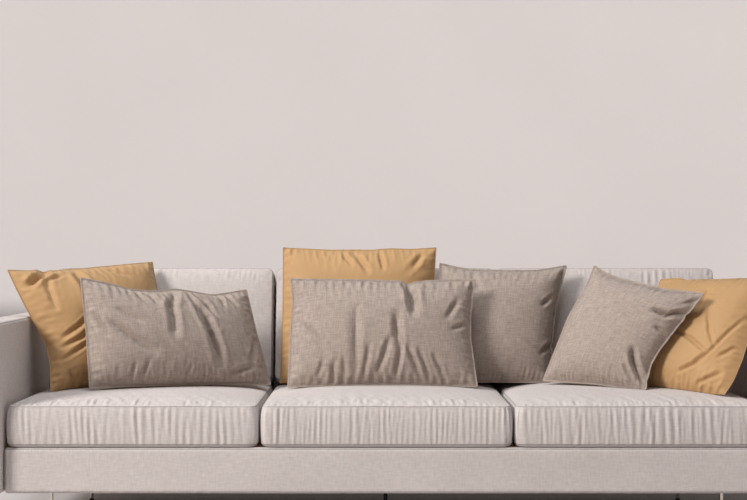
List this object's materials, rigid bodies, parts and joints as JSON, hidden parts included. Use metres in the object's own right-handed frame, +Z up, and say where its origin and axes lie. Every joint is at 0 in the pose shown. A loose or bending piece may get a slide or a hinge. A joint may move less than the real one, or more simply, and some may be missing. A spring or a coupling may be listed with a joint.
{
  "type": "three-seat sofa",
  "caption": "Three-seat upholstered sofa with flat box arms, boxed seat cushions, leaning back cushions, slim metal legs and loose throw pillows resting on the seat.",
  "frame": {"origin": "on the floor under the middle of the bounding box", "axes": "+X runs along the seat from left to right as seen from in front, the sofa faces -Y, +Z is up"},
  "size_m": [2.621, 0.95, 0.9236],
  "materials": {
    "sofa_fabric": "fine woven upholstery cloth in a warm pale grey, dry and matt, with a faint self-piping along the cushions' seams",
    "linen": "mottled taupe linen weave, dry and matt",
    "sateen": "smooth ochre cotton sateen with a soft sheen",
    "polished_steel": "polished metal with a slightly warm tone",
    "black_plastic": "moulded black plastic, fine matt",
    "plywood": "plain birch plywood, unvarnished",
    "dust_cloth": "thin black non-woven cloth stapled under the frame"
  },
  "bodies": {
    "root": {"arm_left": "sofa_fabric", "arm_right": "sofa_fabric", "front_rail": "sofa_fabric", "back_frame": "sofa_fabric", "seat_cushion_left": "sofa_fabric", "seat_cushion_centre": "sofa_fabric", "seat_cushion_right": "sofa_fabric", "back_cushion_left": "sofa_fabric", "back_cushion_centre": "sofa_fabric", "back_cushion_right": "sofa_fabric", "pillow_lumbar_left": "linen", "pillow_lumbar_centre": "linen", "pillow_taupe_back": "linen", "pillow_taupe_right": "linen", "pillow_ochre_left": "sateen", "pillow_ochre_centre": "sateen", "pillow_ochre_right": "sateen", "leg_front_left": "polished_steel", "leg_plate_front_left": "polished_steel", "leg_front_right": "polished_steel", "leg_plate_front_right": "polished_steel", "leg_rear_left": "polished_steel", "leg_plate_rear_left": "polished_steel", "leg_rear_right": "polished_steel", "leg_plate_rear_right": "polished_steel", "leg_centre": "black_plastic", "leg_plate_centre": "black_plastic", "glide_front_left": "black_plastic", "glide_front_right": "black_plastic", "glide_rear_left": "black_plastic", "glide_rear_right": "black_plastic", "glide_centre": "black_plastic", "seat_platform": "plywood", "dust_cover": "dust_cloth"}
  },
  "joints": []
}
